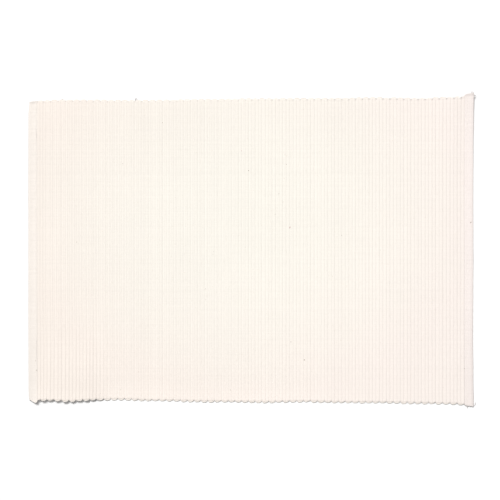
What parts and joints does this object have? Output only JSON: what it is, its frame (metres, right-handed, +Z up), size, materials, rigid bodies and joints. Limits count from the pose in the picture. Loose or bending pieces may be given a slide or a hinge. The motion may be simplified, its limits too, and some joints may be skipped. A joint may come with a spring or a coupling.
{
  "type": "fabric placemat",
  "caption": "Rectangular placemat of thick ribbed cotton with scalloped selvedges and a folded, sewn hem at each short end, lying almost flat.",
  "frame": {"origin": "centre of the mat's outline, on the surface that it lies on", "axes": "+X along the mat's length, from the left hem to the right one as in the picture; +Y along the ribs, away from the viewer; +Z up, through the thickness"},
  "size_m": [0.4826, 0.3396, 0.009],
  "materials": {
    "cotton": "matt ribbed cotton weave, unbleached"
  },
  "bodies": {
    "root": {"mat": "cotton"}
  },
  "joints": []
}
